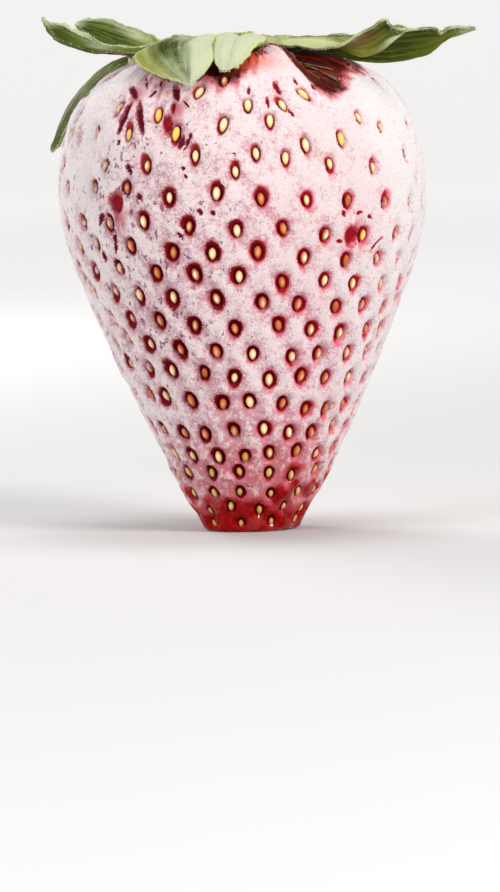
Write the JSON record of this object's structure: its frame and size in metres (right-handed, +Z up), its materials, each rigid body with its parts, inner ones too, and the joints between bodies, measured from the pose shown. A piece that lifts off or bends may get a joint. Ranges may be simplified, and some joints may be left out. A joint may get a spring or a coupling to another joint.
{
  "type": "strawberry",
  "caption": "Tall cone-shaped strawberry under white frost, thawed and glossy red at the flat tip it stands on, with a leafy green calyx on top.",
  "frame": {"origin": "middle of the small flat spot at the tip that the berry stands on", "axes": "+Z up along the berry, from the tip to the calyx; +X towards the long sepal at the right; -Y towards the side seen first"},
  "size_m": [0.0423, 0.0363, 0.0505],
  "materials": {
    "frosted_flesh": "white to pink frost over crimson flesh, bare and wet red at the tip",
    "leaf": "soft green leaf, pale and frosted along the edges",
    "calyx_disc": "yellow-green, matt",
    "stem": "dry grey-green, matt"
  },
  "bodies": {
    "root": {"berry": "frosted_flesh", "calyx_disc": "calyx_disc", "stem_stub": "stem", "sepal_right": "leaf", "bract_right": "leaf", "sepal_back_right": "leaf", "bract_back_right": "leaf", "sepal_back": "leaf", "bract_back_left": "leaf", "sepal_left_upper": "leaf", "sepal_left_low": "leaf", "sepal_left_long": "leaf", "bract_front_left": "leaf", "sepal_front": "leaf", "bract_front": "leaf"}
  },
  "joints": []
}
